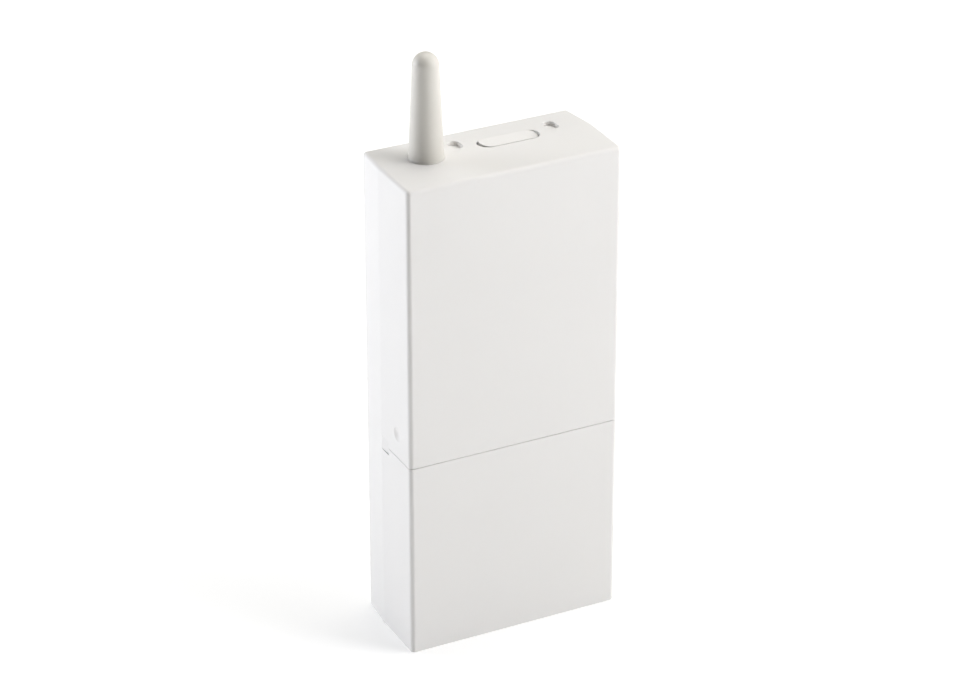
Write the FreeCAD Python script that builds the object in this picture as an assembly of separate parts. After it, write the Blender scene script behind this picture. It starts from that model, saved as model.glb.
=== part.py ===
import FreeCAD, Part
import math
import os

# Gate receiver: a slim wall box with a stub antenna, two front covers, a rear base and the electronics.
# Millimetres. X runs to the right, Y to the back, Z up. The origin is the middle of the bottom face.

V = FreeCAD.Vector
X_AXIS = V(1, 0, 0)
Y_AXIS = V(0, 1, 0)
Z_AXIS = V(0, 0, 1)

# Housing
BODY_W = 54.0
BODY_H = 120.0
COVER_D = 15.0
BASE_D = 10.0
WALL = 2.0
SIDE_DRAFT = 0.9
TOP_DRAFT = 0.5
FRONT_EDGE_R = 1.1
TOP_EDGE_R = 0.9
FOOT_EDGE_R = 0.4
BACK_EDGE_R = 0.5

# Joint between the two covers
SEAM_GAP = 0.1
SEAM_CHAMFER = 0.1
PARTITION_T = 1.5
LAP_H = 1.4
LAP_T = 0.9

# Rim of the base inside the covers, and the keys that part them at the sides
RIM_H = 1.4
RIM_T = 0.9
FIT_GAP = 0.1
KEY_H = 3.3
KEY_L = 3.6
KEY_SINK = 0.25

# Side dimple above the seam
DIMPLE_R = 1.8
DIMPLE_DEPTH = 0.45
DIMPLE_BACK = 6.6
DIMPLE_RISE = 6.2

# Latch slot in the top and the recesses beside it
SLOT_L = 15.6
SLOT_W = 5.3
SLOT_BACK = 15.75
TONGUE_LEFT_GAP = 1.2
TONGUE_RIGHT_GAP = 0.15
TONGUE_LEFT_R = 2.8
TONGUE_RIGHT_R = 1.0
TONGUE_NOSE_GAP = 1.8
TONGUE_NOSE_DROP = 0.8
TONGUE_T = 1.3
CATCH_W = 8.0
CATCH_T = 1.1
CATCH_GAP = 0.3
BARB_L = 1.5
RECESS_SPACING = 24.4
RECESS_W = 3.0
RECESS_L = 4.6
RECESS_DEPTH = 1.1
RECESS_BACK = 18.2

# Antenna
ANTENNA_INSET = 12.0
ANTENNA_H = 25.5
NECK_R = 3.9
FOOT_R = 4.05
FLARE_R = 0.25
TIP_R = 3.05
BORE_GAP = 0.05
FLANGE_R = 5.4
FLANGE_T = 1.6
SHEATH_BORE_R = 2.2
SHEATH_TOP_WALL = 2.6
COIL_R = 1.6
WIRE_R = 0.4
COIL_PITCH = 2.4
COIL_TURNS = 7
LEG_BEND_R = 1.2
LEG_DROP = 3.0
LEG_HOLE_GAP = 0.05
SHELF_W = 9.0
SHELF_T = 2.2

# Wall screws and cable entries
WALL_SCREW_R = 2.1
WALL_SCREW_LOW_Z = 12.5
WALL_SCREW_TOP_DROP = 15.5
ENTRY_SPACING = 22.0
ENTRY_HOLE_R = 3.3
GROMMET_BORE_R = 2.4
GROMMET_FLANGE_R = 3.9
GROMMET_FLANGE_T = 1.2
GROMMET_GAP = 0.05

# Circuit board and its screws
BOARD_T = 1.6
BOARD_SIDE_GAP = 1.3
BOARD_TOP_GAP = 5.5
BOARD_CORNER_R = 1.5
POST_H = 3.0
POST_R = 3.0
SCREW_INSET = 3.5
SCREW_TOP_INSET = 5.5
SCREW_LOW_DROP = 11.7
SCREW_SHANK_R = 1.2
SCREW_HEAD_R = 2.3
SCREW_HEAD_H = 1.8
SCREW_SLOT_DEPTH = 0.8
SCREW_SHANK_L = 4.2
SCREW_GAP = 0.15
DRIVER_HOLE_R = 4.75

# Terminal blocks
POLE_PITCH = 5.0
SUPPLY_POLE_COUNT = 2
CHANNEL_POLE_COUNT = 3
BLOCK_DROP = 19.8
BLOCK_GAP = 0.4
BLOCK_H = 10.0
BLOCK_L = 8.6
BLOCK_LEDGE = 0.3
BLOCK_CHAMFER = 1.6
WIRE_MOUTH_W = 3.6
WIRE_MOUTH_H = 4.2
WIRE_MOUTH_LIFT = 1.4
WIRE_MOUTH_L = 6.6
CLAMP_T = 0.6
CLAMP_L = 4.0
CLAMP_GAP = 0.05
TERMINAL_SCREW_R = 1.7
TERMINAL_SCREW_H = 1.8
TERMINAL_SCREW_SINK = 0.6
TERMINAL_WELL_GAP = 0.1
DRIVER_SLOT_W = 0.6
DRIVER_SLOT_DEPTH = 0.7

# Programming switches and lamps
CHANNEL_SPACING = 15.0
SWITCH_W = 6.0
SWITCH_H = 3.5
SWITCH_DROP = 10.2
SWITCH_CHAMFER = 0.3
BUTTON_R = 1.7
BUTTON_OUT = 1.5
BUTTON_IN = 1.0
BUTTON_TRAVEL = 0.25
BUTTON_GAP = 0.05
BUTTON_FLOOR_GAP = 0.3
LAMP_R = 1.5
LAMP_FLANGE_R = 1.9
LAMP_FLANGE_T = 0.8
LAMP_H = 5.0
LAMP_DROP = 4.3

# Electronics under the upper cover, heights measured out from the board
RELAY_W = 15.5
RELAY_L = 19.0
RELAY_H = 15.0
RELAY_GAP = 3.0
RELAY_EDGE_R = 0.6
ROW_GAP = 2.0
RADIO_W = 15.0
RADIO_L = 20.0
RADIO_T = 0.8
RADIO_X = -14.0
RADIO_GAP = 1.8
RADIO_SCREW_GAP = 4.65
SHIELD_W = 11.5
SHIELD_T = 2.4
SHIELD_EDGE_R = 0.5
SHIELD_INSET = 1.0
CRYSTAL_L = 10.2
CRYSTAL_W = 4.0
CRYSTAL_H = 2.6
CRYSTAL_GAP = 1.5
VARISTOR_R = 4.5
VARISTOR_T = 4.0
VARISTOR_LIFT = 1.0
LEAD_R = 0.35
CAPACITOR_R = 4.0
CAPACITOR_H = 11.5
CAPACITOR_X = 16.5
CAPACITOR_SPACING = 10.0
CAPACITOR_GROOVE = 0.35
CHIP_W = 7.5
CHIP_L = 11.6
CHIP_H = 2.3
CHIP_CHAMFER = 0.25
CHIP_X = 3.5
CHIP_PITCH = 1.27
CHIP_LEGS = 9
CHIP_LEG_W = 0.42
CHIP_LEG_T = 0.25
CHIP_LEG_OUT = 1.4
RECTIFIER_W = 8.5
RECTIFIER_L = 6.4
RECTIFIER_H = 3.3
REGULATOR_W = 6.6
REGULATOR_L = 6.1
REGULATOR_H = 2.3
REGULATOR_TAB_L = 1.2
REGULATOR_TAB_T = 0.5
REGULATOR_LEG_W = 0.7
DRIVER_R = 2.4
DRIVER_H = 4.6
DRIVER_LIFT = 1.2
DRIVER_X = -3.9
DRIVER_SPACING = 6.0
DRIVER_LEG_PITCH = 1.27

# Planes that the sizes above set
Y_FRONT = -(COVER_D + BASE_D) / 2
Y_PART = Y_FRONT + COVER_D
Y_BACK = Y_PART + BASE_D
HALF_W = BODY_W / 2
Y_BOARD_BACK = Y_BACK - WALL - POST_H
Y_BOARD = Y_BOARD_BACK - BOARD_T
ANTENNA_X = ANTENNA_INSET - HALF_W
SLOT_X = (ANTENNA_X + HALF_W) / 2
SLOT_Y = Y_FRONT + SLOT_BACK
CUT = 1.0

# Heights, from the top of the body down to the wiring room, which takes what is left
BOARD_Z1 = BODY_H - WALL - BOARD_TOP_GAP
SCREW_TOP_Z = BOARD_Z1 - SCREW_TOP_INSET
RADIO_Z0 = SCREW_TOP_Z - SCREW_HEAD_R - RADIO_SCREW_GAP - RADIO_L
ROW_2_Z = RADIO_Z0 - RADIO_GAP - VARISTOR_T
ROW_Z = ROW_2_Z - ROW_GAP - RELAY_L
UPPER_Z0 = ROW_Z - ROW_GAP - PARTITION_T
SEAM_Z = UPPER_Z0 - SEAM_GAP / 2
LOWER_Z1 = SEAM_Z - SEAM_GAP / 2
LAMP_Z = SEAM_Z - LAMP_DROP
SWITCH_Z = SEAM_Z - SWITCH_DROP
SCREW_LOW_Z = SEAM_Z - SCREW_LOW_DROP
BLOCK_Z = (SEAM_Z - BLOCK_DROP - BLOCK_L, SEAM_Z - BLOCK_DROP)
BOARD_Z0 = BLOCK_Z[0] - BLOCK_LEDGE
WALL_SCREW_Z = (WALL_SCREW_LOW_Z, BODY_H - WALL_SCREW_TOP_DROP)


def draft_share(y):
    """How far y lies from the parting plane to the back, from 0 to 1."""
    return (y - Y_PART) / BASE_D


def base_half_width(y):
    return HALF_W - SIDE_DRAFT * draft_share(y)


def base_top(y):
    return BODY_H - TOP_DRAFT * draft_share(y)


BOARD_HALF_W = base_half_width(Y_BOARD_BACK) - WALL - BOARD_SIDE_GAP
SCREW_X = BOARD_HALF_W - SCREW_INSET
LEG_X = ANTENNA_X + COIL_R
LEG_Z = BOARD_Z1 - LEG_DROP
RADIO_Y = Y_BOARD - RADIO_T
MOUTH_Y = (Y_BOARD - WIRE_MOUTH_LIFT - WIRE_MOUTH_H, Y_BOARD - WIRE_MOUTH_LIFT)
POLE_Z = BLOCK_Z[0] + WIRE_MOUTH_L - CLAMP_L / 2 - CLAMP_GAP


def span(x, y, z):
    """A box from its (low, high) pairs along X, Y and Z."""
    size = (x[1] - x[0], y[1] - y[0], z[1] - z[0])
    return Part.makeBox(*size, V(x[0], y[0], z[0]))


def rod(r, start, end):
    """A cylinder between two points."""
    run = end - start
    return Part.makeCylinder(r, run.Length, start, run)


def fuse(shapes):
    return shapes[0].multiFuse(shapes[1:]).removeSplitter()


def mirror_x(shape):
    return shape.mirror(V(0, 0, 0), X_AXIS)


def edges_where(shape, test):
    return [edge for edge in shape.Edges if test(edge.BoundBox)]


def near(a, b):
    return abs(a - b) < 1e-4


def obround(length, width, x, y, z0, z1):
    """An upright prism with round ends, long along X."""
    r = width / 2
    half = length / 2 - r
    core = span((x - half, x + half), (y - r, y + r), (z0, z1))
    ends = [rod(r, V(x + side * half, y, z0), V(x + side * half, y, z1)) for side in (-1, 1)]
    return fuse([core] + ends)


def save(shape, node):
    shape.exportStep("parts/" + node + ".step")


def cover_block(z0, z1):
    """A solid cover of full depth with its two upright front edges rounded."""
    block = span((-HALF_W, HALF_W), (Y_FRONT, Y_PART), (z0, z1))
    upright = edges_where(block, lambda b: near(b.YMax, Y_FRONT) and near(b.ZMin, z0) and near(b.ZMax, z1))
    return block.makeFillet(FRONT_EDGE_R, upright)


def rim_pocket(z0, z1):
    """The room that a cover leaves at its rear edge for the rim of the base."""
    half = HALF_W - WALL + RIM_T + FIT_GAP
    return span((-half, half), (Y_PART - RIM_H - FIT_GAP, Y_PART + CUT), (z0, z1))


def seam_chamfer(shape, z):
    """Breaks the outer edge of a cover along the seam, front and sides."""
    def on_seam(b):
        outside = b.YMin < Y_FRONT + FRONT_EDGE_R + 1e-3 or b.XMax < 1e-3 - HALF_W or b.XMin > HALF_W - 1e-3
        inside = near(b.YMin, Y_FRONT + WALL)
        return near(b.ZMin, z) and near(b.ZMax, z) and outside and not inside
    return shape.makeChamfer(SEAM_CHAMFER, edges_where(shape, on_seam))


def seam_key():
    """The right-hand key of the base in the notch at the end of the seam, sinking towards the front."""
    low = SEAM_Z - KEY_H / 2
    plan = polygon_face([V(HALF_W - WALL, Y_PART, low), V(HALF_W, Y_PART, low),
                         V(HALF_W - KEY_SINK, Y_PART - KEY_L, low), V(HALF_W - WALL, Y_PART - KEY_L, low)])
    return plan.extrude(Z_AXIS * KEY_H)


def key_notch():
    half_h = KEY_H / 2 + FIT_GAP
    return span((HALF_W - WALL - FIT_GAP, HALF_W + CUT), (Y_PART - KEY_L - FIT_GAP, Y_PART + CUT),
                (SEAM_Z - half_h, SEAM_Z + half_h))


def antenna_bore():
    low = V(ANTENNA_X, Y_PART, BODY_H - WALL - TOP_DRAFT - CUT)
    return rod(NECK_R + BORE_GAP, low, V(ANTENNA_X, Y_PART, BODY_H + CUT))


def latch_slot(z0, z1):
    return obround(SLOT_L, SLOT_W, SLOT_X, SLOT_Y, z0, z1)


def cover_catch():
    """The arm under the top wall of the upper cover that the latch tongue holds."""
    x = (SLOT_X - CATCH_W / 2, SLOT_X + CATCH_W / 2)
    barb_z = tongue_barb_z()
    arm_top = barb_z - CATCH_GAP
    arm_low = arm_top - CATCH_T
    web_y = (SLOT_Y - SLOT_W / 2 - 2 * CATCH_T, SLOT_Y - SLOT_W / 2 - CATCH_T)
    nib_y = tongue_barb_y()[1] + CATCH_GAP
    web = span(x, web_y, (arm_low, BODY_H - WALL + CATCH_GAP))
    arm = span(x, (web_y[0], nib_y + CATCH_T), (arm_low, arm_top))
    nib = span(x, (nib_y, nib_y + CATCH_T), (arm_low, barb_z + CATCH_T))
    return fuse([web, arm, nib])


def side_dimple():
    """A ball whose cap is the shallow dish in the left side of the upper cover."""
    ball_r = (DIMPLE_R ** 2 + DIMPLE_DEPTH ** 2) / (2 * DIMPLE_DEPTH)
    centre = V(-HALF_W - ball_r + DIMPLE_DEPTH, Y_FRONT + DIMPLE_BACK, SEAM_Z + DIMPLE_RISE)
    return Part.makeSphere(ball_r, centre)


def upper_cover():
    shell = cover_block(UPPER_Z0, BODY_H)
    top_edges = edges_where(shell, lambda b: near(b.ZMin, BODY_H) and b.YMin < Y_PART - 1e-3)
    shell = shell.makeFillet(TOP_EDGE_R, top_edges)
    inner = HALF_W - WALL
    hollow = span((-inner, inner), (Y_FRONT + WALL, Y_PART + CUT), (UPPER_Z0 + PARTITION_T, BODY_H - WALL))
    shell = shell.cut([hollow, rim_pocket(UPPER_Z0 - CUT, BODY_H - WALL + RIM_T + FIT_GAP)])
    shell = seam_chamfer(shell, UPPER_Z0)
    lap_x = inner - FIT_GAP
    lap_y = Y_FRONT + WALL + FIT_GAP
    shelf_x = base_half_width(Y_BOARD) - WALL - FIT_GAP
    shelf_y = (Y_PART - 2 * RIM_H, Y_BOARD - FIT_GAP)
    shelf = span((-shelf_x, shelf_x), shelf_y, (UPPER_Z0, UPPER_Z0 + PARTITION_T))
    lap = span((-lap_x, lap_x), (lap_y, lap_y + LAP_T), (UPPER_Z0 - LAP_H, UPPER_Z0 + PARTITION_T))
    shell = fuse([shell, shelf, lap, cover_catch()])
    notch = key_notch()
    dimple = side_dimple()
    slot = latch_slot(BODY_H - WALL - CUT, BODY_H + CUT)
    return shell.cut([notch, mirror_x(notch), dimple, mirror_x(dimple), slot, antenna_bore()])


def terminal_cover():
    shell = cover_block(0, LOWER_Z1)
    foot_edges = edges_where(shell, lambda b: near(b.ZMax, 0) and b.YMin < Y_PART - 1e-3)
    shell = shell.makeFillet(FOOT_EDGE_R, foot_edges)
    inner = HALF_W - WALL
    hollow = span((-inner, inner), (Y_FRONT + WALL, Y_PART + CUT), (WALL, LOWER_Z1 + CUT))
    shell = shell.cut([hollow, rim_pocket(WALL - RIM_T - FIT_GAP, LOWER_Z1 + CUT)])
    shell = seam_chamfer(shell, LOWER_Z1)
    notch = key_notch()
    return shell.cut([notch, mirror_x(notch)])


def polygon_face(points):
    return Part.Face(Part.makePolygon(points + points[:1]))


def drafted_block(y0, y1, inset):
    """A block between two upright planes whose sides and top lean in as the base does."""
    half = [base_half_width(y) - inset for y in (y0, y1)]
    top = [base_top(y) - inset for y in (y0, y1)]
    plan = polygon_face([V(-half[0], y0, inset), V(half[0], y0, inset),
                         V(half[1], y1, inset), V(-half[1], y1, inset)])
    side = polygon_face([V(-BODY_W, y0, inset), V(-BODY_W, y1, inset),
                         V(-BODY_W, y1, top[1]), V(-BODY_W, y0, top[0])])
    return plan.extrude(Z_AXIS * BODY_H).common(side.extrude(X_AXIS * 2 * BODY_W))


def round_top_corners(block, inset):
    """Rounds the two upper corners that run from the front of a drafted block to its back."""
    def on_corner(point):
        return (near(abs(point.x), base_half_width(point.y) - inset)
                and near(point.z, base_top(point.y) - inset))
    corners = [edge for edge in block.Edges
               if edge.BoundBox.YLength > WALL and all(on_corner(end.Point) for end in edge.Vertexes)]
    return block.makeFillet(TOP_EDGE_R, corners)


def base_shell():
    outside = round_top_corners(drafted_block(Y_PART, Y_BACK, 0), 0)
    outside = outside.makeFillet(BACK_EDGE_R, edges_where(outside, lambda b: near(b.YMin, Y_BACK)))
    return outside.cut(round_top_corners(drafted_block(Y_PART - CUT, Y_BACK - WALL, WALL), WALL))


def base_rim():
    """The thin rim that stands inside the rear edge of both covers, on all four sides."""
    out = HALF_W - WALL + RIM_T
    low = WALL - RIM_T
    high = BODY_H - WALL + RIM_T
    y = (Y_PART - RIM_H, Y_PART + RIM_T)
    frame = span((-out, out), y, (low, high))
    room = base_half_width(y[1]) - WALL
    return frame.cut(span((-room, room), (y[0] - CUT, y[1] + CUT), (WALL, base_top(y[1]) - WALL)))


def tongue_barb_y():
    nose = SLOT_Y - SLOT_W / 2 + TONGUE_NOSE_GAP
    return (nose, nose + CATCH_T)


def tongue_barb_z():
    return BODY_H - TONGUE_NOSE_DROP - TONGUE_T - BARB_L


def tongue_outline(x, y):
    """An upright prism in the shape of the tongue from above, its two corners at the nose rounded."""
    z = (BODY_H - 3 * WALL, BODY_H + CUT)
    block = span(x, y, z)
    for corner_x, r in zip(x, (TONGUE_LEFT_R, TONGUE_RIGHT_R)):
        corner = edges_where(block, lambda b: near(b.XMin, corner_x) and near(b.XMax, corner_x)
                             and near(b.YMin, y[0]) and near(b.YMax, y[0]))
        block = block.makeFillet(r, corner)
    return block


def latch_tongue():
    """The sprung tongue in the slot, which falls from the rear edge to its nose, with a barb below."""
    x = (SLOT_X - SLOT_L / 2 + TONGUE_LEFT_GAP, SLOT_X + SLOT_L / 2 - TONGUE_RIGHT_GAP)
    y = (tongue_barb_y()[0], SLOT_Y + SLOT_W / 2)
    root_z = base_top(y[1])
    nose_z = BODY_H - TONGUE_NOSE_DROP
    side = polygon_face([V(x[0], y[0], nose_z), V(x[0], y[1], root_z), V(x[0], y[1], root_z - WALL),
                         V(x[0], y[0], nose_z - TONGUE_T)])
    wedge = side.extrude(X_AXIS * (x[1] - x[0])).common(tongue_outline(x, y))
    barb = span((SLOT_X - CATCH_W / 2 + CATCH_T, SLOT_X + CATCH_W / 2 - CATCH_T), tongue_barb_y(),
                (tongue_barb_z(), nose_z - TONGUE_T / 2))
    return fuse([wedge, barb])


def tool_recess(x):
    y = Y_FRONT + RECESS_BACK
    top = base_top(y)
    pocket = obround(RECESS_L, RECESS_W, 0, 0, top - RECESS_DEPTH, top + CUT)
    pocket.rotate(V(0, 0, 0), Z_AXIS, 90)
    pocket.translate(V(x, y, 0))
    return pocket


def board_screw_places():
    return [(side * SCREW_X, z) for z in (SCREW_LOW_Z, SCREW_TOP_Z) for side in (-1, 1)]


def board_post(x, z):
    return rod(POST_R, V(x, Y_BOARD_BACK, z), V(x, Y_BACK - WALL / 2, z))


def post_bore(x, z):
    return rod(SCREW_SHANK_R, V(x, Y_BOARD_BACK - CUT, z), V(x, Y_BOARD + SCREW_SHANK_L + SCREW_GAP, z))


def antenna_shelf():
    top = BODY_H - WALL - TOP_DRAFT - FLANGE_T - FIT_GAP
    y = (Y_PART + LEG_BEND_R + 2 * WIRE_R, Y_BACK - WALL / 2)
    return span((ANTENNA_X - SHELF_W / 2, ANTENNA_X + SHELF_W / 2), y, (top - SHELF_T, top))


def entry_places():
    y = (Y_PART + Y_BACK - WALL) / 2
    return [V(side * ENTRY_SPACING / 2, y, 0) for side in (-1, 1)]


def rear_base():
    shell = base_shell().fuse(base_rim())
    shell = shell.cut([latch_slot(BODY_H - 2 * WALL, BODY_H + CUT)])
    parts = [shell, latch_tongue(), antenna_shelf(), seam_key(), mirror_x(seam_key())]
    parts += [board_post(x, z) for x, z in board_screw_places()]
    shell = fuse(parts)
    cuts = [antenna_bore()]
    cuts += [tool_recess(SLOT_X + side * RECESS_SPACING / 2) for side in (-1, 1)]
    cuts += [post_bore(x, z) for x, z in board_screw_places()]
    cuts += [rod(WALL_SCREW_R, V(0, Y_BACK - WALL - CUT, z), V(0, Y_BACK + CUT, z)) for z in WALL_SCREW_Z]
    cuts += [rod(ENTRY_HOLE_R, at - Z_AXIS * CUT, at + Z_AXIS * (WALL + CUT)) for at in entry_places()]
    return shell.cut(cuts)


def cable_grommets():
    """Two rubber plugs pushed into the cable entries, flush below and flanged inside."""
    plugs = []
    for place in entry_places():
        neck = rod(ENTRY_HOLE_R - GROMMET_GAP, place, place + Z_AXIS * (WALL + GROMMET_FLANGE_T))
        flange = rod(GROMMET_FLANGE_R, place + Z_AXIS * WALL, place + Z_AXIS * (WALL + GROMMET_FLANGE_T))
        bore = rod(GROMMET_BORE_R, place - Z_AXIS * CUT, place + Z_AXIS * 3 * WALL)
        plugs.append(fuse([neck, flange]).cut(bore))
    return plugs


def antenna_sheath():
    """The moulded stub, turned about its axis, from its flange to its domed tip, bored for the coil."""
    flange_top = BODY_H - WALL - TOP_DRAFT
    flange_low = flange_top - FLANGE_T
    tip = BODY_H + ANTENNA_H
    dome_z = tip - TIP_R
    cos45 = math.sqrt(0.5)
    flare_top = BODY_H + 2 * FLARE_R
    edges = []
    edges.append(Part.makeLine(V(SHEATH_BORE_R, 0, flange_low), V(FLANGE_R, 0, flange_low)))
    edges.append(Part.makeLine(V(FLANGE_R, 0, flange_low), V(FLANGE_R, 0, flange_top)))
    edges.append(Part.makeLine(V(FLANGE_R, 0, flange_top), V(NECK_R, 0, flange_top)))
    edges.append(Part.makeLine(V(NECK_R, 0, flange_top), V(NECK_R, 0, BODY_H)))
    edges.append(Part.makeLine(V(NECK_R, 0, BODY_H), V(FOOT_R + FLARE_R, 0, BODY_H)))
    flare_mid = V(FOOT_R + FLARE_R * (1 - cos45), 0, BODY_H + 2 * FLARE_R * (1 - cos45))
    edges.append(Part.Arc(V(FOOT_R + FLARE_R, 0, BODY_H), flare_mid, V(FOOT_R, 0, flare_top)).toShape())
    edges.append(Part.makeLine(V(FOOT_R, 0, flare_top), V(TIP_R, 0, dome_z)))
    dome_mid = V(TIP_R * cos45, 0, dome_z + TIP_R * cos45)
    edges.append(Part.Arc(V(TIP_R, 0, dome_z), dome_mid, V(0, 0, tip)).toShape())
    edges.append(Part.makeLine(V(0, 0, tip), V(0, 0, tip - SHEATH_TOP_WALL)))
    edges.append(Part.makeLine(V(0, 0, tip - SHEATH_TOP_WALL), V(SHEATH_BORE_R, 0, tip - SHEATH_TOP_WALL)))
    edges.append(Part.makeLine(V(SHEATH_BORE_R, 0, tip - SHEATH_TOP_WALL), V(SHEATH_BORE_R, 0, flange_low)))
    stub = Part.Face(Part.Wire(edges)).revolve(V(0, 0, 0), Z_AXIS, 360)
    stub.translate(V(ANTENNA_X, Y_PART, 0))
    return stub


def antenna_coil():
    """The wound wire in the sheath, with a straight leg that bends back into the board."""
    coil_z0 = BODY_H + WALL
    helix = Part.makeHelix(COIL_PITCH, COIL_PITCH * COIL_TURNS, COIL_R)
    section = Part.Wire(Part.makeCircle(WIRE_R, V(COIL_R, 0, 0), Y_AXIS))
    coil = Part.Wire(helix).makePipeShell([section], True, True)
    coil.translate(V(ANTENNA_X, Y_PART, coil_z0))
    foot = V(LEG_X, Y_PART, coil_z0)
    elbow = V(LEG_X, Y_PART, LEG_Z + LEG_BEND_R)
    leg = rod(WIRE_R, foot, elbow)
    bend = Part.makeTorus(LEG_BEND_R, WIRE_R, V(LEG_X, Y_PART + LEG_BEND_R, LEG_Z + LEG_BEND_R), X_AXIS)
    corner = span((LEG_X - LEG_BEND_R, LEG_X + LEG_BEND_R), (Y_PART - LEG_BEND_R, Y_PART + LEG_BEND_R),
                  (LEG_Z - LEG_BEND_R, LEG_Z + LEG_BEND_R))
    tail = rod(WIRE_R, V(LEG_X, Y_PART + LEG_BEND_R, LEG_Z), V(LEG_X, Y_BOARD_BACK + 2 * WIRE_R, LEG_Z))
    knee = Part.makeSphere(WIRE_R, foot)
    return fuse([coil, knee, leg, bend.common(corner), tail])


def circuit_board():
    board = span((-BOARD_HALF_W, BOARD_HALF_W), (Y_BOARD, Y_BOARD_BACK), (BOARD_Z0, BOARD_Z1))
    corners = edges_where(board, lambda b: near(b.XMin, b.XMax) and near(b.ZMin, b.ZMax))
    board = board.makeFillet(BOARD_CORNER_R, corners)
    y = (Y_BOARD - CUT, Y_BOARD_BACK + CUT)
    holes = [rod(SCREW_SHANK_R + SCREW_GAP, V(x, y[0], z), V(x, y[1], z)) for x, z in board_screw_places()]
    holes.append(rod(DRIVER_HOLE_R, V(0, y[0], WALL_SCREW_Z[1]), V(0, y[1], WALL_SCREW_Z[1])))
    holes.append(rod(WIRE_R + LEG_HOLE_GAP, V(LEG_X, y[0], LEG_Z), V(LEG_X, y[1], LEG_Z)))
    return board.cut(holes)


def board_screws():
    screws = []
    head_y = Y_BOARD - SCREW_HEAD_H
    for x, z in board_screw_places():
        head = rod(SCREW_HEAD_R, V(x, head_y, z), V(x, Y_BOARD, z))
        crown = edges_where(head, lambda b: near(b.YMin, head_y) and near(b.YMax, head_y))
        head = head.makeFillet(SCREW_HEAD_H / 2, crown)
        shank = rod(SCREW_SHANK_R, V(x, Y_BOARD - CUT, z), V(x, Y_BOARD + SCREW_SHANK_L, z))
        screw = fuse([head, shank])
        for turn in (0, 90):
            bar = span((-SCREW_HEAD_R / 2, SCREW_HEAD_R / 2), (head_y - CUT, head_y + SCREW_SLOT_DEPTH),
                       (-DRIVER_SLOT_W / 2, DRIVER_SLOT_W / 2))
            bar.rotate(V(0, 0, 0), Y_AXIS, turn)
            bar.translate(V(x, 0, z))
            screw = screw.cut(bar)
        screws.append(screw)
    return screws


def block_starts():
    """The left end of each terminal block: name, X and number of poles."""
    blocks = [("supply", SUPPLY_POLE_COUNT)]
    blocks += [("channel_%d" % number, CHANNEL_POLE_COUNT) for number in (1, 2)]
    total = sum(poles for _, poles in blocks) * POLE_PITCH + (len(blocks) - 1) * BLOCK_GAP
    x = -total / 2
    rows = []
    for name, poles in blocks:
        rows.append((name, x, poles))
        x += poles * POLE_PITCH + BLOCK_GAP
    return rows


def pole_places():
    return [x + (pole + 0.5) * POLE_PITCH for _, x, poles in block_starts() for pole in range(poles)]


def terminal_block(x0, poles):
    y0 = Y_BOARD - BLOCK_H
    side = polygon_face([V(x0, Y_BOARD, BLOCK_Z[0]), V(x0, y0 + BLOCK_CHAMFER, BLOCK_Z[0]),
                         V(x0, y0, BLOCK_Z[0] + BLOCK_CHAMFER), V(x0, y0, BLOCK_Z[1] - 2 * BLOCK_CHAMFER),
                         V(x0, y0 + BLOCK_CHAMFER, BLOCK_Z[1]), V(x0, Y_BOARD, BLOCK_Z[1])])
    body = side.extrude(V(poles * POLE_PITCH, 0, 0))
    cuts = []
    for pole in range(poles):
        x = x0 + (pole + 0.5) * POLE_PITCH
        mouth_x = (x - WIRE_MOUTH_W / 2, x + WIRE_MOUTH_W / 2)
        cuts.append(span(mouth_x, MOUTH_Y, (BLOCK_Z[0] - CUT, BLOCK_Z[0] + WIRE_MOUTH_L)))
        well_r = TERMINAL_SCREW_R + TERMINAL_WELL_GAP
        cuts.append(rod(well_r, V(x, y0 - CUT, POLE_Z), V(x, MOUTH_Y[0] + CUT, POLE_Z)))
    return body.cut(cuts)


def terminal_clamps():
    """Brass cages in the wire mouths, open along Z, with a hole for the screw."""
    cages = []
    half = WIRE_MOUTH_W / 2 - CLAMP_GAP
    hollow = half - CLAMP_T
    y = (MOUTH_Y[0] + CLAMP_GAP, MOUTH_Y[1] - CLAMP_GAP)
    z = (POLE_Z - CLAMP_L / 2, POLE_Z + CLAMP_L / 2)
    for x in pole_places():
        cage = span((x - half, x + half), y, z)
        room = span((x - hollow, x + hollow), (y[0] + CLAMP_T, y[1] - CLAMP_T), (z[0] - CUT, z[1] + CUT))
        hole_y = (y[0] - CUT, y[0] + CLAMP_T + CUT)
        hole = rod(TERMINAL_SCREW_R / 2 + CLAMP_GAP, V(x, hole_y[0], POLE_Z), V(x, hole_y[1], POLE_Z))
        cages.append(cage.cut([room, hole]))
    return cages


def terminal_screws():
    screws = []
    for x in pole_places():
        head_y = Y_BOARD - BLOCK_H + TERMINAL_SCREW_SINK
        seat_y = MOUTH_Y[0] + CLAMP_GAP
        head = rod(TERMINAL_SCREW_R, V(x, head_y, POLE_Z), V(x, head_y + TERMINAL_SCREW_H, POLE_Z))
        shank_end = V(x, seat_y + 2 * CLAMP_T, POLE_Z)
        shank = rod(TERMINAL_SCREW_R / 2, V(x, head_y + DRIVER_SLOT_DEPTH, POLE_Z), shank_end)
        groove_x = (x - DRIVER_SLOT_W / 2, x + DRIVER_SLOT_W / 2)
        groove = span(groove_x, (head_y - CUT, head_y + DRIVER_SLOT_DEPTH),
                      (POLE_Z - 2 * TERMINAL_SCREW_R, POLE_Z + 2 * TERMINAL_SCREW_R))
        screws.append(fuse([head, shank]).cut(groove))
    return screws


def channel_x(channel):
    return (channel - 1.5) * CHANNEL_SPACING


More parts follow.
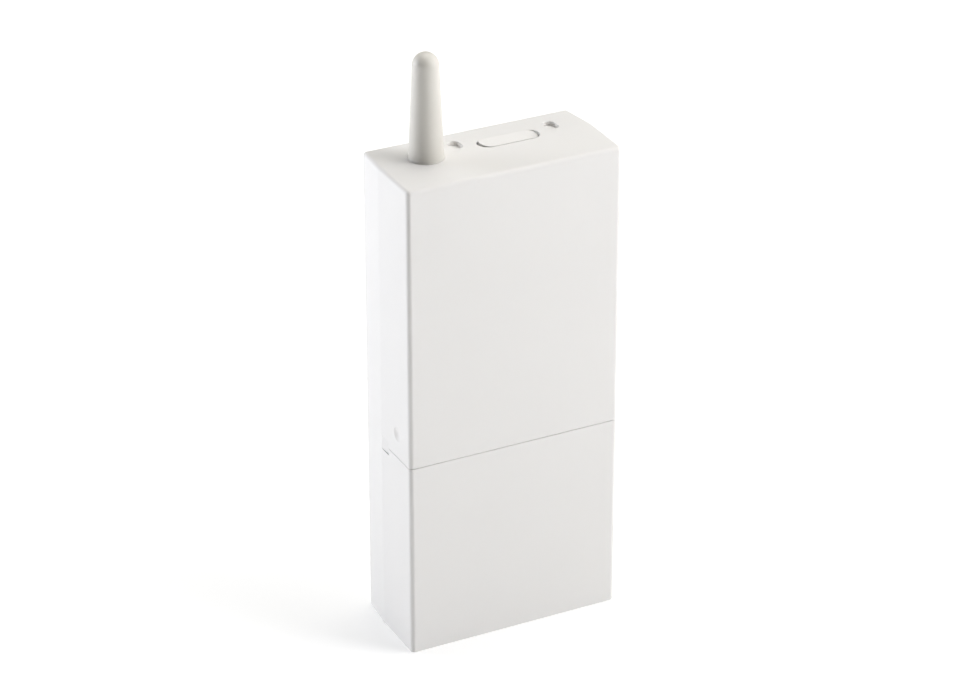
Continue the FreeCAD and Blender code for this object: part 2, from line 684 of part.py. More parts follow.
def program_switch(x):
    z = SWITCH_Z
    half = SWITCH_W / 2
    body = span((x - half, x + half), (Y_BOARD - SWITCH_H, Y_BOARD), (z - half, z + half))
    uprights = edges_where(body, lambda b: near(b.XMin, b.XMax) and near(b.ZMin, b.ZMax))
    body = body.makeChamfer(SWITCH_CHAMFER, uprights)
    floor_y = Y_BOARD - SWITCH_H + BUTTON_IN + BUTTON_FLOOR_GAP
    return body.cut(rod(BUTTON_R + BUTTON_GAP, V(x, Y_BOARD - SWITCH_H - CUT, z), V(x, floor_y, z)))


def program_button(x):
    tip_y = Y_BOARD - SWITCH_H - BUTTON_OUT
    stem = rod(BUTTON_R, V(x, tip_y, SWITCH_Z), V(x, Y_BOARD - SWITCH_H + BUTTON_IN, SWITCH_Z))
    rim = edges_where(stem, lambda b: near(b.YMin, tip_y) and near(b.YMax, tip_y))
    return stem.makeChamfer(BUTTON_TRAVEL, rim)


def status_lamp(x):
    foot = V(x, Y_BOARD, LAMP_Z)
    base = rod(LAMP_FLANGE_R, foot - Y_AXIS * LAMP_FLANGE_T, foot)
    dome = foot - Y_AXIS * (LAMP_H - LAMP_R)
    return fuse([base, rod(LAMP_R, dome, foot), Part.makeSphere(LAMP_R, dome)])


def rounded_case(x, y, z, r):
    """A box with its edges rounded, apart from those that lie on the board."""
    case = span(x, y, z)
    return case.makeFillet(r, edges_where(case, lambda b: b.YMin < y[1] - 1e-3))


def relay(channel):
    x = (channel - 1.5) * (RELAY_W + RELAY_GAP)
    return rounded_case((x - RELAY_W / 2, x + RELAY_W / 2), (Y_BOARD - RELAY_H, Y_BOARD),
                        (ROW_Z, ROW_Z + RELAY_L), RELAY_EDGE_R)


def radio_board():
    x = (RADIO_X - RADIO_W / 2, RADIO_X + RADIO_W / 2)
    return span(x, (RADIO_Y, Y_BOARD), (RADIO_Z0, RADIO_Z0 + RADIO_L))


def shield_z():
    top = RADIO_Z0 + RADIO_L - SHIELD_INSET
    return (top - SHIELD_W, top)


def radio_shield():
    return rounded_case((RADIO_X - SHIELD_W / 2, RADIO_X + SHIELD_W / 2), (RADIO_Y - SHIELD_T, RADIO_Y),
                        shield_z(), SHIELD_EDGE_R)


def radio_crystal():
    """A flat can with round ends, lying on the radio board below the shield."""
    can = obround(CRYSTAL_L, CRYSTAL_W, 0, 0, 0, CRYSTAL_H)
    can.rotate(V(0, 0, 0), X_AXIS, 90)
    can.translate(V(RADIO_X, RADIO_Y, shield_z()[0] - CRYSTAL_GAP - CRYSTAL_W / 2))
    return can


def varistor():
    z = ROW_2_Z + VARISTOR_T / 2
    y = Y_BOARD - VARISTOR_LIFT - VARISTOR_R
    disc = rod(VARISTOR_R, V(RADIO_X, y, z - VARISTOR_T / 2), V(RADIO_X, y, z + VARISTOR_T / 2))
    rims = edges_where(disc, lambda b: near(b.ZMin, b.ZMax))
    disc = disc.makeFillet(VARISTOR_T / 4, rims)
    leg_x = [RADIO_X + side * VARISTOR_R / 2 for side in (-1, 1)]
    return fuse([disc] + [rod(LEAD_R, V(x, y, z), V(x, Y_BOARD, z)) for x in leg_x])


def filter_capacitor(number):
    z = ROW_2_Z + CAPACITOR_R + (number - 1) * CAPACITOR_SPACING
    top_y = Y_BOARD - CAPACITOR_H
    can = rod(CAPACITOR_R, V(CAPACITOR_X, top_y, z), V(CAPACITOR_X, Y_BOARD, z))
    rim = edges_where(can, lambda b: near(b.YMin, top_y) and near(b.YMax, top_y))
    can = can.makeFillet(CAPACITOR_GROOVE, rim)
    middle = V(CAPACITOR_X, Y_BOARD - CAPACITOR_R / 2, z)
    return can.cut(Part.makeTorus(CAPACITOR_R + CAPACITOR_GROOVE / 2, CAPACITOR_GROOVE, middle, Y_AXIS))


def bridge_rectifier():
    z = ROW_2_Z
    body = span((CHIP_X - RECTIFIER_W / 2, CHIP_X + RECTIFIER_W / 2), (Y_BOARD - RECTIFIER_H, Y_BOARD),
                (z, z + RECTIFIER_L))
    front = edges_where(body, lambda b: near(b.YMin, b.YMax) and near(b.YMin, Y_BOARD - RECTIFIER_H))
    return body.makeChamfer(RECTIFIER_H / 6, front)


def microcontroller():
    z0 = ROW_2_Z + RECTIFIER_L + 2 * ROW_GAP
    x = (CHIP_X - CHIP_W / 2, CHIP_X + CHIP_W / 2)
    body = span(x, (Y_BOARD - CHIP_H, Y_BOARD - CHIP_LEG_T), (z0, z0 + CHIP_L))
    front = edges_where(body, lambda b: near(b.YMin, b.YMax) and near(b.YMin, Y_BOARD - CHIP_H))
    pieces = [body.makeChamfer(CHIP_CHAMFER, front)]
    first = z0 + CHIP_L / 2 - (CHIP_LEGS - 1) * CHIP_PITCH / 2
    knee_y = Y_BOARD - CHIP_H / 2
    for side in (-1, 1):
        root = CHIP_X + side * (CHIP_W / 2 - CHIP_LEG_T)
        knee = CHIP_X + side * (CHIP_W / 2 + CHIP_LEG_OUT / 2)
        toe = CHIP_X + side * (CHIP_W / 2 + CHIP_LEG_OUT)
        for leg in range(CHIP_LEGS):
            z = first + leg * CHIP_PITCH
            wide = (z - CHIP_LEG_W / 2, z + CHIP_LEG_W / 2)
            arm_x = sorted((root, knee))
            post_x = sorted((knee, knee - side * CHIP_LEG_T))
            foot_x = sorted((knee - side * CHIP_LEG_T, toe))
            pieces.append(span(arm_x, (knee_y - CHIP_LEG_T, knee_y), wide))
            pieces.append(span(post_x, (knee_y - CHIP_LEG_T, Y_BOARD), wide))
            pieces.append(span(foot_x, (Y_BOARD - CHIP_LEG_T, Y_BOARD), wide))
    return fuse(pieces)


def voltage_regulator():
    z0 = ROW_2_Z + CAPACITOR_R + CAPACITOR_SPACING + CAPACITOR_R + ROW_GAP
    x = (CAPACITOR_X - REGULATOR_W / 2, CAPACITOR_X + REGULATOR_W / 2)
    body = span(x, (Y_BOARD - REGULATOR_H, Y_BOARD), (z0, z0 + REGULATOR_L))
    tab = span((x[0] + REGULATOR_TAB_T, x[1] - REGULATOR_TAB_T), (Y_BOARD - REGULATOR_TAB_T, Y_BOARD),
               (z0 + REGULATOR_L / 2, z0 + REGULATOR_L + REGULATOR_TAB_L))
    legs = []
    for side in (-1, 1):
        leg_x = CAPACITOR_X + side * REGULATOR_W / 3
        wide = (leg_x - REGULATOR_LEG_W / 2, leg_x + REGULATOR_LEG_W / 2)
        legs.append(span(wide, (Y_BOARD - REGULATOR_TAB_T, Y_BOARD),
                         (z0 - REGULATOR_TAB_L, z0 + REGULATOR_LEG_W)))
    return fuse([body, tab] + legs)


def driver_transistors():
    """Two round-backed transistors on three legs each."""
    pieces = []
    for row in (0, 1):
        z = ROW_2_Z + DRIVER_R + row * DRIVER_SPACING
        high = Y_BOARD - DRIVER_LIFT
        barrel = rod(DRIVER_R, V(DRIVER_X, high - DRIVER_H, z), V(DRIVER_X, high, z))
        flat = span((DRIVER_X - 2 * DRIVER_R, DRIVER_X + 2 * DRIVER_R), (high - 2 * DRIVER_H, high + CUT),
                    (z + DRIVER_R / 2, z + 2 * DRIVER_R))
        legs = [V(DRIVER_X + step * DRIVER_LEG_PITCH, 0, z) for step in (-1, 0, 1)]
        pins = [rod(LEAD_R, leg + Y_AXIS * (high - CUT), leg + Y_AXIS * Y_BOARD) for leg in legs]
        pieces.append(fuse([barrel.cut(flat)] + pins))
    return pieces


def main():
    os.makedirs("parts", exist_ok=True)
    save(rear_base(), "rear_base")
    save(upper_cover(), "upper_cover")
    save(terminal_cover(), "terminal_cover")
    save(Part.makeCompound(cable_grommets()), "cable_grommets")
    save(antenna_sheath(), "antenna_sheath")
    save(antenna_coil(), "antenna_coil")
    save(circuit_board(), "circuit_board")
    save(Part.makeCompound(board_screws()), "board_screws")
    for name, x, poles in block_starts():
        save(terminal_block(x, poles), "terminal_block_" + name)
    save(Part.makeCompound(terminal_clamps()), "terminal_clamps")
    save(Part.makeCompound(terminal_screws()), "terminal_screws")
    for number in (1, 2):
        save(program_switch(channel_x(number)), "program_switch_%d" % number)
        save(program_button(channel_x(number)), "program_button_%d" % number)
        save(status_lamp(channel_x(number)), "status_lamp_%d" % number)
        save(relay(number), "relay_%d" % number)
        save(filter_capacitor(number), "filter_capacitor_%d" % number)
    save(radio_board(), "radio_board")
    save(radio_shield(), "radio_shield")
    save(radio_crystal(), "radio_crystal")
    save(varistor(), "varistor")
    save(bridge_rectifier(), "bridge_rectifier")
    save(microcontroller(), "microcontroller")
    save(voltage_regulator(), "voltage_regulator")
    save(Part.makeCompound(driver_transistors()), "driver_transistors")


main()
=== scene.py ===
# The gate receiver in its finishes, on a pale paper floor in soft light.

import math

import bmesh
import bpy
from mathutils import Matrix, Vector


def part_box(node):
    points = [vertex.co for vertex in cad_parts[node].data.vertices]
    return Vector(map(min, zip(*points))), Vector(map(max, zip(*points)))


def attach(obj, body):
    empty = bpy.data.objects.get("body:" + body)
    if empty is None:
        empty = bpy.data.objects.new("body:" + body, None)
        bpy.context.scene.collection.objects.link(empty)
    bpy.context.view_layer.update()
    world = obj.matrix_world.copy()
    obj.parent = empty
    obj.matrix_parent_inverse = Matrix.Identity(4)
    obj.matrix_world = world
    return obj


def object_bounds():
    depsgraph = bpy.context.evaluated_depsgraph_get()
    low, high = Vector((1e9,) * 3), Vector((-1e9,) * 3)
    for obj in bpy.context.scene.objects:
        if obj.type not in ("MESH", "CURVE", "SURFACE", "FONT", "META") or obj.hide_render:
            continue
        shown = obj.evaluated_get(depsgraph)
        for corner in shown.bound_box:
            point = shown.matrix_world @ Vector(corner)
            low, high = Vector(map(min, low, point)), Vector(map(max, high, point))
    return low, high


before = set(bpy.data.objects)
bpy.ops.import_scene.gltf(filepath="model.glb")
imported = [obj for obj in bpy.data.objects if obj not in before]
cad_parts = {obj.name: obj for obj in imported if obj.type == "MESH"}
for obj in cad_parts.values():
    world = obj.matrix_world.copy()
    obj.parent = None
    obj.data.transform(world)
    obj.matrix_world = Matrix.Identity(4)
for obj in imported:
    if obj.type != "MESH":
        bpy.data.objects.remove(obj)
cad_low, cad_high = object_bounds()

# Lengths are in metres, in the frame of the part: X to the right, Y to the back, Z up.
MM = 0.001

# Camera: direction from the part in degrees, its aim, and lens and sensor in millimetres
VIEW_AZIMUTH = -26.7
VIEW_ELEVATION = 27.84
VIEW_DISTANCE = 0.8274
VIEW_AIM = Vector((-0.00777, cad_low.y, 0.07726))
LENS = 134.95
SENSOR_WIDTH = 36.0
NEAREST = 0.05
FARTHEST = 50.0

# Soft lights: direction from the part in degrees, distance and size in metres, power in watts
LIGHTS = {
    "left_panel": dict(azimuth=-129, elevation=8, distance=0.6, size=(0.3, 0.5), power=3.2,
                       colour=(0.92, 0.94, 1.0)),
    "right_panel": dict(azimuth=54, elevation=28, distance=0.7, size=(0.4, 0.6), power=3.6,
                        colour=(0.975, 0.975, 1.0)),
    "front_panel": dict(azimuth=45, elevation=40, distance=0.9, size=(0.5, 0.6), power=1.0,
                        colour=(1.0, 0.97, 0.89)),
    "back_panel": dict(azimuth=128, elevation=72, distance=0.9, size=(0.7, 0.6), power=5.5,
                       colour=(1.0, 0.985, 0.94)),
}

# Floor and backdrop: pale paper with a glow of its own
ROOM_RADIUS = 6.0
ROOM_SEGMENTS = 96
ROOM_RINGS = 48
PAPER_COLOUR = (0.75, 0.75, 0.747)
PAPER_SHADE = 0.995
PAPER_ROUGHNESS = (0.85, 0.95)
FIBRE_SIZE = 40 * MM
GLOW_COLOUR = (1.0, 1.0, 1.0)
FLOOR_GLOW = 0.41
BACKDROP_GLOW = 1.0

# The glow of the floor rises between these distances from the part
LIT_RADIUS = 0.3
FAR_RADIUS = 0.8

# Most values of a noise lie between these
NOISE_RANGE = (0.3, 0.7)

# Mouldings: softened edges, an eroded grain and a faint waviness from cooling
EDGE_SOFTENING = 0.12 * MM
EDGE_SAMPLES = 6
GRAIN_SIZE = 0.28 * MM
GRAIN_DEPTH = 0.006 * MM
FINE_GRAIN_DEPTH = 0.003 * MM
GRAIN_SPREAD = 0.05
WAVE_SIZE = 22.0 * MM
WAVE_DEPTH = 0.02 * MM
WAVE_SHADE = 0.992
PLASTIC_IOR = 1.47
HOUSING_WHITE = (0.815, 0.805, 0.790)
ANTENNA_WHITE = (0.69, 0.67, 0.62)
ANTENNA_GRAIN_SIZE = 0.2 * MM
TERMINAL_GREEN = (0.035, 0.23, 0.10)
RELAY_BLUE = (0.02, 0.08, 0.32)
SWITCH_BLACK = (0.03, 0.03, 0.032)
BUTTON_RED = (0.58, 0.03, 0.022)
EPOXY_BLACK = (0.022, 0.022, 0.024)
EPOXY_GRAIN_SIZE = 0.12 * MM
EPOXY_GRAIN_DEPTH = 0.01 * MM

# Scatter of the light that goes a little way into the white plastics
SCATTER_WEIGHT = 0.06
SCATTER_SCALE = 0.6 * MM
SCATTER_RADIUS = (1.0, 0.9, 0.8)

# Dipped resin
RIPPLE_SIZE = 2.5 * MM
RIPPLE_DEPTH = 0.01 * MM
RIPPLE_SHADE = 0.9
SMEAR_SIZE = 0.4 * MM
DIP_ROUGHNESS = (0.16, 0.26)
DIP_COAT = 0.3
DIP_COAT_ROUGHNESS = 0.1
VARISTOR_BLUE = (0.02, 0.16, 0.45)

# Metal: stains and fine scratches, which a stretch turns into lines along the way it was drawn
LINE_SIZE = 0.12 * MM
LINE_DETAIL = 4.0
LINE_DEPTH = 0.004 * MM
NO_LINES = (1.0, 1.0, 1.0)
LINES_ALONG_X = (0.1, 1.0, 1.0)
LINES_ALONG_Z = (1.0, 1.0, 0.08)
STAIN_SIZE = 1.6 * MM
STAIN_DETAIL = 3.0
STAIN_SHADE = 0.86
STAIN_SPREAD = 0.14
METAL_EDGE = 0.06 * MM
ZINC = (0.72, 0.72, 0.73)
TIN = (0.76, 0.75, 0.72)
BRASS = (0.80, 0.66, 0.38)
COPPER = (0.80, 0.36, 0.20)

# Rubber
RUBBER_GREY = (0.62, 0.61, 0.59)
RUBBER_SHADE = 0.94
RUBBER_CLOUD_SIZE = 1.8 * MM
RUBBER_GRAIN_SIZE = 0.18 * MM
RUBBER_GRAIN_DEPTH = 0.008 * MM
RUBBER_ROUGHNESS = (0.62, 0.78)

# Circuit boards: glass weave under lacquer, with raised copper tracks
BOARD_GREEN = (0.012, 0.115, 0.045)
WEAVE_SIZE = 0.25 * MM
WEAVE_DEPTH = 0.003 * MM
WEAVE_SHADE = 0.88
TRACK_W = 0.16 * MM
TRACK_L = 11.3 * MM
TRACK_PITCH = 1.27 * MM
TRACK_STAGGER = 0.37
TRACK_SOFTNESS = 0.1
TRACK_RISE = 0.03 * MM
TRACK_SHADE = 1.7
TRACK_SHARE = 0.55
LACQUER_ROUGHNESS = (0.24, 0.34)
LACQUER_COAT = 0.4
LACQUER_COAT_ROUGHNESS = 0.15

# Clear resin of the lamps
LAMP_RED = (0.75, 0.03, 0.02)
HAZE_SIZE = 0.6 * MM
HAZE_SHADE = 0.9
LAMP_ROUGHNESS = (0.06, 0.14)
LAMP_CLEARNESS = 0.55
LAMP_IOR = 1.5

# Capacitors: a shrink sleeve, and on the end a bare disc with a grooved cross, whose grooves are
# painted a darker grey as painted shade
SLEEVE_BLUE = (0.012, 0.02, 0.08)
SLEEVE_SHADE = 0.85
SLEEVE_GRAIN_SIZE = 0.5 * MM
SLEEVE_ROUGHNESS = (0.22, 0.36)
SLEEVE_COAT = 0.2
DISC_SHARE = 0.78
DISC_DEPTH = 0.2 * MM
DISC_ALUMINIUM = (0.78, 0.78, 0.79)
GROOVE_HALF_W = 0.14 * MM
GROOVE_DEPTH = 0.05 * MM
GROOVE_PAINTED_SHADE = (0.25, 0.25, 0.26)
GROOVE_SHADE_SHARE = 0.5

# Print on the circuit board: outlines round the switches, lamps, relays, rectifier and microcontroller
PRINT_W = 0.16 * MM
PRINT_T = 0.02 * MM
PRINT_GAP = 0.35 * MM
INK_DARK = (0.72, 0.72, 0.70)
INK_PALE = (0.82, 0.82, 0.80)
INK_CLOUD_SIZE = 0.3 * MM
INK_GRAIN_SIZE = 0.1 * MM
INK_ROUGHNESS = (0.5, 0.65)


def opaque(colour):
    """Adds full alpha to a colour, and leaves a socket as it is."""
    return colour if isinstance(colour, bpy.types.NodeSocket) else (*colour, 1.0)


def shade(colour, factor):
    return tuple(channel * factor for channel in colour)


class Finish:
    """One material and the short calls that build its nodes."""

    SOCKETS = dict(
        colour="Base Color", roughness="Roughness", metallic="Metallic", normal="Normal", ior="IOR",
        coat="Coat Weight", coat_roughness="Coat Roughness", clear="Transmission Weight",
        scatter_weight="Subsurface Weight", scatter_scale="Subsurface Scale",
        scatter_radius="Subsurface Radius", glow_colour="Emission Color", glow="Emission Strength")

    def __init__(self, name):
        self.material = bpy.data.materials.new(name)
        self.material.use_nodes = True
        self.tree = self.material.node_tree
        self.tree.nodes.clear()
        self.shader = self.node("ShaderNodeBsdfPrincipled")
        surface = self.node("ShaderNodeOutputMaterial")
        self.link(self.shader.outputs["BSDF"], surface.inputs["Surface"])
        self.place = self.node("ShaderNodeTexCoord").outputs["Object"]

    def node(self, kind):
        return self.tree.nodes.new(kind)

    def link(self, source, target):
        self.tree.links.new(source, target)

    def put(self, target, value):
        """Sets a socket to a number or colour, or links it."""
        if isinstance(value, bpy.types.NodeSocket):
            self.link(value, target)
        else:
            target.default_value = value

    def math(self, operation, a, b=0.0):
        node = self.node("ShaderNodeMath")
        node.operation = operation
        self.put(node.inputs[0], a)
        self.put(node.inputs[1], b)
        return node.outputs[0]

    def axis(self, name):
        split = self.node("ShaderNodeSeparateXYZ")
        self.link(self.place, split.inputs[0])
        return split.outputs[name]

    def distance(self):
        """Distance from the origin of the object."""
        node = self.node("ShaderNodeVectorMath")
        node.operation = "LENGTH"
        self.link(self.place, node.inputs[0])
        return node.outputs["Value"]

    def noise(self, size, detail=2.0, stretch=NO_LINES):
        """Noise from 0 to 1 whose blotches are about as large as size."""
        mapping = self.node("ShaderNodeMapping")
        mapping.inputs["Scale"].default_value = stretch
        self.link(self.place, mapping.inputs["Vector"])
        node = self.node("ShaderNodeTexNoise")
        node.inputs["Scale"].default_value = 1.0 / size
        node.inputs["Detail"].default_value = detail
        self.link(mapping.outputs[0], node.inputs["Vector"])
        return node.outputs["Fac"]

    def remap(self, value, source, target):
        node = self.node("ShaderNodeMapRange")
        self.put(node.inputs["Value"], value)
        node.inputs["From Min"].default_value, node.inputs["From Max"].default_value = source
        node.inputs["To Min"].default_value, node.inputs["To Max"].default_value = target
        return node.outputs["Result"]

    def mix(self, factor, a, b):
        node = self.node("ShaderNodeMix")
        node.data_type = "RGBA"
        self.put(node.inputs["Factor"], factor)
        self.put(node.inputs["A"], opaque(a))
        self.put(node.inputs["B"], opaque(b))
        return node.outputs["Result"]

    def bump(self, height, depth, normal=None):
        node = self.node("ShaderNodeBump")
        node.inputs["Distance"].default_value = depth
        self.put(node.inputs["Height"], height)
        if normal is not None:
            self.link(normal, node.inputs["Normal"])
        return node.outputs["Normal"]

    def soft_edges(self, radius=EDGE_SOFTENING):
        node = self.node("ShaderNodeBevel")
        node.samples = EDGE_SAMPLES
        node.inputs["Radius"].default_value = radius
        return node.outputs["Normal"]

    def set(self, **values):
        for name, value in values.items():
            if name in ("colour", "glow_colour"):
                value = opaque(value)
            self.put(self.shader.inputs[self.SOCKETS[name]], value)
        return self.material


def moulded_plastic(name, colour, roughness, grain_depth=GRAIN_DEPTH, grain_size=GRAIN_SIZE,
                    scatter_weight=0.0):
    """Opaque plastic with an even eroded grain and a faint waviness."""
    finish = Finish(name)
    tone = finish.remap(finish.noise(WAVE_SIZE, detail=1.0), NOISE_RANGE, (0.0, 1.0))
    speck = finish.noise(grain_size, detail=3.0)
    waves = finish.bump(finish.noise(WAVE_SIZE, detail=0.0), WAVE_DEPTH, finish.soft_edges())
    return finish.set(
        colour=finish.mix(tone, shade(colour, WAVE_SHADE), colour),
        roughness=finish.remap(
            speck, NOISE_RANGE, (roughness - GRAIN_SPREAD, roughness + GRAIN_SPREAD)),
        normal=finish.bump(speck, grain_depth, waves),
        ior=PLASTIC_IOR,
        scatter_weight=scatter_weight,
        scatter_scale=SCATTER_SCALE,
        scatter_radius=SCATTER_RADIUS)


def dipped_resin(name, colour):
    """A smooth skin with slow ripples."""
    finish = Finish(name)
    ripples = finish.noise(RIPPLE_SIZE, detail=1.0)
    return finish.set(
        colour=finish.mix(ripples, shade(colour, RIPPLE_SHADE), colour),
        roughness=finish.remap(finish.noise(SMEAR_SIZE), NOISE_RANGE, DIP_ROUGHNESS),
        normal=finish.bump(ripples, RIPPLE_DEPTH, finish.soft_edges()),
        coat=DIP_COAT,
        coat_roughness=DIP_COAT_ROUGHNESS)


def plated_metal(name, colour, roughness, lines=NO_LINES):
    finish = Finish(name)
    scratches = finish.noise(LINE_SIZE, LINE_DETAIL, lines)
    stain = finish.noise(STAIN_SIZE, STAIN_DETAIL)
    return finish.set(
        colour=finish.mix(stain, shade(colour, STAIN_SHADE), colour),
        metallic=1.0,
        roughness=finish.remap(stain, NOISE_RANGE, (roughness, roughness + STAIN_SPREAD)),
        normal=finish.bump(scratches, LINE_DEPTH, finish.soft_edges(METAL_EDGE)))


def soft_rubber(name, colour):
    finish = Finish(name)
    speck = finish.noise(RUBBER_GRAIN_SIZE, detail=4.0)
    return finish.set(
        colour=finish.mix(finish.noise(RUBBER_CLOUD_SIZE), shade(colour, RUBBER_SHADE), colour),
        roughness=finish.remap(speck, NOISE_RANGE, RUBBER_ROUGHNESS),
        normal=finish.bump(speck, RUBBER_GRAIN_DEPTH, finish.soft_edges()))


def copper_tracks(finish):
    """1 on the tracks of a board and 0 between them: long runs along Z with short jogs along X."""
    swap = finish.node("ShaderNodeCombineXYZ")
    finish.link(finish.axis("Z"), swap.inputs["X"])
    finish.link(finish.axis("X"), swap.inputs["Y"])
    tracks = finish.node("ShaderNodeTexBrick")
    tracks.offset = TRACK_STAGGER
    tracks.inputs["Scale"].default_value = 1.0
    tracks.inputs["Mortar Size"].default_value = TRACK_W
    tracks.inputs["Mortar Smooth"].default_value = TRACK_SOFTNESS
    tracks.inputs["Brick Width"].default_value = TRACK_L
    tracks.inputs["Row Height"].default_value = TRACK_PITCH
    finish.link(swap.outputs[0], tracks.inputs["Vector"])
    return tracks.outputs["Fac"]


def board_lacquer(name, colour):
    """Lacquer over glass weave and copper tracks."""
    finish = Finish(name)
    copper = copper_tracks(finish)
    weave = finish.noise(WEAVE_SIZE)
    base = finish.mix(weave, shade(colour, WEAVE_SHADE), colour)
    raised = finish.math("MULTIPLY", copper, TRACK_SHARE)
    return finish.set(
        colour=finish.mix(raised, base, shade(colour, TRACK_SHADE)),
        roughness=finish.remap(weave, NOISE_RANGE, LACQUER_ROUGHNESS),
        normal=finish.bump(copper, TRACK_RISE, finish.bump(weave, WEAVE_DEPTH)),
        coat=LACQUER_COAT,
        coat_roughness=LACQUER_COAT_ROUGHNESS)


def clear_resin(name, colour):
    finish = Finish(name)
    haze = finish.noise(HAZE_SIZE)
    return finish.set(
        colour=finish.mix(haze, shade(colour, HAZE_SHADE), colour),
        roughness=finish.remap(haze, NOISE_RANGE, LAMP_ROUGHNESS),
        clear=LAMP_CLEARNESS,
        ior=LAMP_IOR)


def sleeved_can(node):
    """A capacitor that stands out towards -Y: its sleeve, and the disc and cross on its end."""
    finish = Finish(node)
    low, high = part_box(node)
    off_x = finish.math("SUBTRACT", finish.axis("X"), (low.x + high.x) / 2)
    off_z = finish.math("SUBTRACT", finish.axis("Z"), (low.z + high.z) / 2)
    squares = finish.math("ADD", finish.math("MULTIPLY", off_x, off_x),
                          finish.math("MULTIPLY", off_z, off_z))
    disc_r = DISC_SHARE * (high.x - low.x) / 2
    inside = finish.math("LESS_THAN", finish.math("SQRT", squares), disc_r)
    on_end = finish.math("LESS_THAN", finish.axis("Y"), low.y + DISC_DEPTH)
    bare = finish.math("MULTIPLY", inside, on_end)
    nearest = finish.math("MINIMUM", finish.math("ABSOLUTE", off_x), finish.math("ABSOLUTE", off_z))
    groove = finish.math("MULTIPLY", finish.math("LESS_THAN", nearest, GROOVE_HALF_W), bare)
    skin = finish.noise(SLEEVE_GRAIN_SIZE, detail=3.0)
    sleeve = finish.mix(skin, shade(SLEEVE_BLUE, SLEEVE_SHADE), SLEEVE_BLUE)
    colour = finish.mix(bare, sleeve, DISC_ALUMINIUM)
    # The grooves of the cross are painted a darker grey: painted shade in the grooves
    return finish.set(
        colour=finish.mix(finish.math("MULTIPLY", groove, GROOVE_SHADE_SHARE), colour, GROOVE_PAINTED_SHADE),
        metallic=bare,
        roughness=finish.remap(skin, NOISE_RANGE, SLEEVE_ROUGHNESS),
        normal=finish.bump(groove, -GROOVE_DEPTH, finish.soft_edges()),
        coat=SLEEVE_COAT)


def dress(material, *nodes):
    for name in nodes:
        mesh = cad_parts[name].data
        mesh.materials.clear()
        mesh.materials.append(material)


def pair(stem):
    return [f"{stem}_{number}" for number in (1, 2)]


def dress_shells():
    dress(moulded_plastic("housing_plastic", HOUSING_WHITE, roughness=0.56,
                          scatter_weight=SCATTER_WEIGHT),
          "rear_base", "upper_cover", "terminal_cover")
    dress(moulded_plastic("antenna_plastic", ANTENNA_WHITE, roughness=0.4,
                          grain_depth=FINE_GRAIN_DEPTH, grain_size=ANTENNA_GRAIN_SIZE,
                          scatter_weight=SCATTER_WEIGHT),
          "antenna_sheath")
    dress(soft_rubber("grommet_rubber", RUBBER_GREY), "cable_grommets")


def dress_metal():
    dress(plated_metal("zinc_plate", ZINC, roughness=0.28), "board_screws", "terminal_screws")
    dress(plated_metal("tinned_can", TIN, roughness=0.24, lines=LINES_ALONG_Z),
          "radio_shield", "radio_crystal")
    dress(plated_metal("clamp_brass", BRASS, roughness=0.25, lines=LINES_ALONG_X), "terminal_clamps")
    dress(plated_metal("enamelled_copper", COPPER, roughness=0.2), "antenna_coil")


def dress_electronics():
    dress(board_lacquer("board_lacquer", BOARD_GREEN), "circuit_board", "radio_board")
    dress(moulded_plastic("terminal_polyamide", TERMINAL_GREEN, roughness=0.42),
          "terminal_block_supply", *pair("terminal_block_channel"))
    dress(moulded_plastic("relay_case", RELAY_BLUE, roughness=0.26, grain_depth=FINE_GRAIN_DEPTH),
          *pair("relay"))
    dress(moulded_plastic("moulded_epoxy", EPOXY_BLACK, roughness=0.5,
                          grain_depth=EPOXY_GRAIN_DEPTH, grain_size=EPOXY_GRAIN_SIZE),
          "bridge_rectifier", "microcontroller", "voltage_regulator", "driver_transistors")
    dress(moulded_plastic("switch_nylon", SWITCH_BLACK, roughness=0.4), *pair("program_switch"))
    dress(moulded_plastic("button_nylon", BUTTON_RED, roughness=0.34), *pair("program_button"))
    dress(clear_resin("lamp_resin", LAMP_RED), *pair("status_lamp"))
    dress(dipped_resin("varistor_dip", VARISTOR_BLUE), "varistor")
    for name in pair("filter_capacitor"):
        dress(sleeved_can(name), name)


def add_object(name, mesh, material):
    """Turns a bmesh into an object of the scene."""
    data = bpy.data.meshes.new(name)
    mesh.to_mesh(data)
    mesh.free()
    data.materials.append(material)
    piece = bpy.data.objects.new(name, data)
    bpy.context.scene.collection.objects.link(piece)
    return piece


def add_box(mesh, low, high):
    """Adds a closed box between two corners to a bmesh."""
    corners = bmesh.ops.create_cube(mesh, size=1.0)["verts"]
    middle = (low + high) / 2
    size = high - low
    for corner in corners:
        corner.co = Vector((middle[i] + corner.co[i] * size[i] for i in range(3)))


def add_outline(mesh, low, high, y, width, thickness):
    """Adds four butted strips round a rectangle, raised from a plane that faces -Y."""
    front = y - thickness
    for z in (low.z, high.z - width):
        add_box(mesh, Vector((low.x, front, z)), Vector((high.x, y, z + width)))
    for x in (low.x, high.x - width):
        add_box(mesh, Vector((x, front, low.z + width)), Vector((x + width, y, high.z - width)))


def ink():
    finish = Finish("board_ink")
    return finish.set(
        colour=finish.mix(finish.noise(INK_CLOUD_SIZE), INK_DARK, INK_PALE),
        roughness=finish.remap(finish.noise(INK_GRAIN_SIZE), NOISE_RANGE, INK_ROUGHNESS))


def board_print():
    """Pale outlines on the board, which show where its parts stand."""
    board_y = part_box("circuit_board")[0].y
    margin = Vector((PRINT_GAP, 0, PRINT_GAP))
    mesh = bmesh.new()
    parts = pair("program_switch") + pair("status_lamp") + pair("relay")
    for part in parts + ["bridge_rectifier", "microcontroller"]:
        low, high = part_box(part)
        add_outline(mesh, low - margin, high + margin, board_y, PRINT_W, PRINT_T)
    piece = add_object("board_print", mesh, ink())
    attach(piece, "housing")


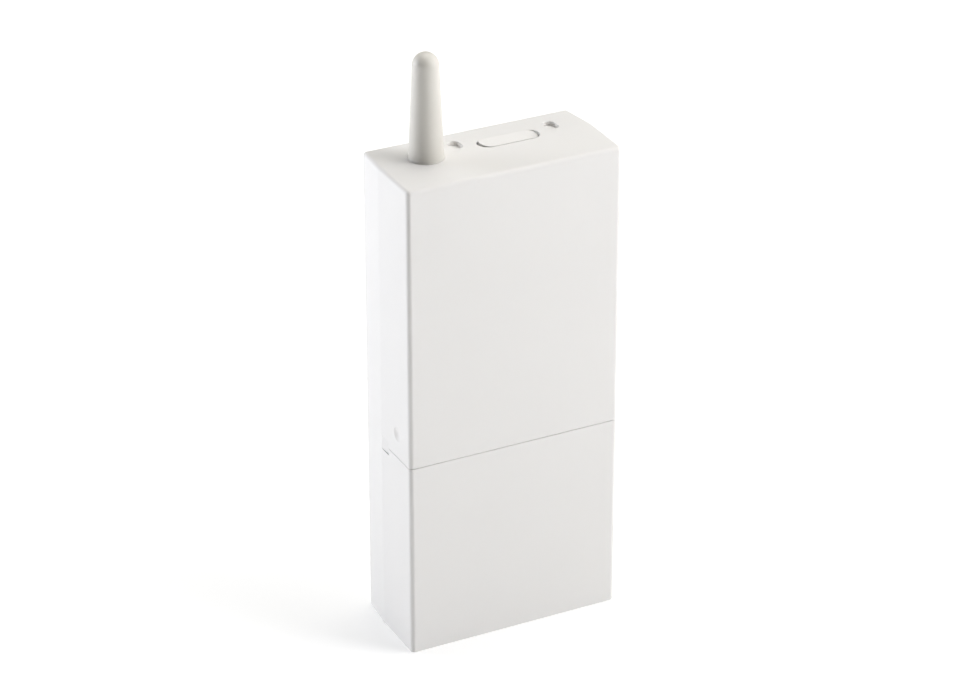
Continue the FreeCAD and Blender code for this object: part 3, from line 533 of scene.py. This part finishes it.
def paper(name):
    finish = Finish(name)
    fibre = finish.noise(FIBRE_SIZE, detail=4.0)
    finish.set(
        colour=finish.mix(fibre, shade(PAPER_COLOUR, PAPER_SHADE), PAPER_COLOUR),
        roughness=finish.remap(fibre, NOISE_RANGE, PAPER_ROUGHNESS),
        glow_colour=GLOW_COLOUR)
    return finish


def make_floor():
    """A disc whose own glow rises away from the part, where the lights reach less and less."""
    disc = bmesh.new()
    bmesh.ops.create_circle(disc, cap_ends=True, segments=ROOM_SEGMENTS, radius=ROOM_RADIUS)
    finish = paper("floor_paper")
    rise = finish.remap(finish.distance(), (LIT_RADIUS, FAR_RADIUS), (FLOOR_GLOW, BACKDROP_GLOW))
    add_object("floor", disc, finish.set(glow=rise))


def make_backdrop():
    """A dome that is seen behind the part, and neither lights nor shades it."""
    dome = bmesh.new()
    bmesh.ops.create_uvsphere(dome, u_segments=ROOM_SEGMENTS, v_segments=ROOM_RINGS,
                              radius=ROOM_RADIUS)
    backdrop = add_object("backdrop", dome, paper("backdrop_paper").set(glow=BACKDROP_GLOW))
    backdrop.visible_diffuse = False
    backdrop.visible_glossy = False
    backdrop.visible_transmission = False
    backdrop.visible_shadow = False


def direction(azimuth, elevation):
    """Unit vector from the part towards a light or the camera."""
    turn, rise = math.radians(azimuth), math.radians(elevation)
    return Vector((math.sin(turn) * math.cos(rise), -math.cos(turn) * math.cos(rise), math.sin(rise)))


def aim(thing, target, away, distance):
    """Puts a light or the camera into the scene, at a distance from its target and facing it."""
    thing.location = target + away * distance
    thing.rotation_euler = away.to_track_quat("Z", "Y").to_euler()
    bpy.context.scene.collection.objects.link(thing)


def make_lights():
    middle = (cad_low + cad_high) / 2
    for name, light in LIGHTS.items():
        data = bpy.data.lights.new(name, "AREA")
        data.shape = "RECTANGLE"
        data.size, data.size_y = light["size"]
        data.energy = light["power"]
        data.color = light["colour"]
        away = direction(light["azimuth"], light["elevation"])
        aim(bpy.data.objects.new(name, data), middle, away, light["distance"])


def darken_room():
    """The world beyond the backdrop gives no light."""
    dark_room = bpy.data.worlds.new("dark_room")
    dark_room.color = (0.0, 0.0, 0.0)
    bpy.context.scene.world = dark_room


def make_camera():
    data = bpy.data.cameras.new("camera")
    data.lens = LENS
    data.sensor_width = SENSOR_WIDTH
    data.clip_start, data.clip_end = NEAREST, FARTHEST
    camera = bpy.data.objects.new("camera", data)
    aim(camera, VIEW_AIM, direction(VIEW_AZIMUTH, VIEW_ELEVATION), VIEW_DISTANCE)
    bpy.context.scene.camera = camera


bpy.context.scene.view_settings.view_transform = "Standard"
make_camera()
make_lights()
darken_room()
make_floor()
make_backdrop()
dress_shells()
dress_metal()
dress_electronics()
board_print()
